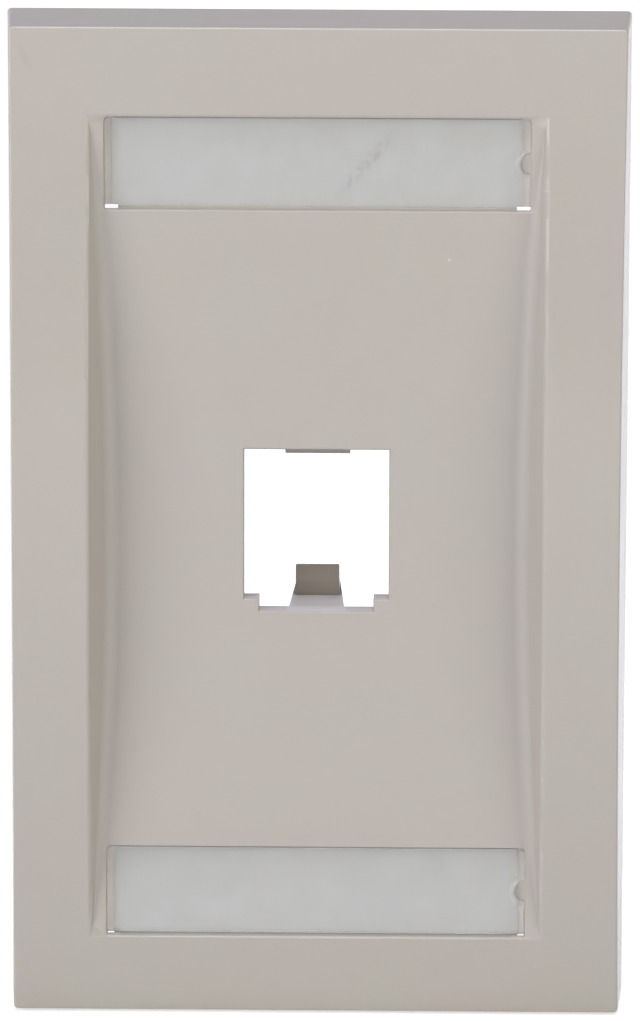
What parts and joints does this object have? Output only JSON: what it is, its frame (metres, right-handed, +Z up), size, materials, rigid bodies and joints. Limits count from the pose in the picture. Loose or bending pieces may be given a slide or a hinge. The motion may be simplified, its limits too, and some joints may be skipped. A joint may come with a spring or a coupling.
{
  "type": "keystone faceplate",
  "caption": "Single-gang keystone wall plate with a crowned rim, a sunk flat panel, a stepped jack port with a latch tongue, and clear-covered label windows.",
  "frame": {"origin": "centre of the fixing-screw pattern, on the wall plane", "axes": "+Z up along the plate's long side, -Y out of the wall towards the viewer, +X to the viewer's right"},
  "size_m": [0.0698, 0.0202, 0.1142],
  "materials": {
    "plate": "low-sheen moulded grey plastic",
    "cover": "clear moulded plastic",
    "card": "matt label card"
  },
  "bodies": {
    "plate": {"faceplate": "plate", "label_card_top": "card", "label_card_bottom": "card"},
    "cover_top": {"label_cover_top": "cover"},
    "cover_bottom": {"label_cover_bottom": "cover"}
  },
  "joints": [
    {"name": "cover_top_lift", "type": "slide", "parent": "plate", "child": "cover_top", "axis": [0, -1, 0], "range_m": [0, 0.015]},
    {"name": "cover_bottom_lift", "type": "slide", "parent": "plate", "child": "cover_bottom", "axis": [0, -1, 0], "range_m": [0, 0.015]}
  ]
}
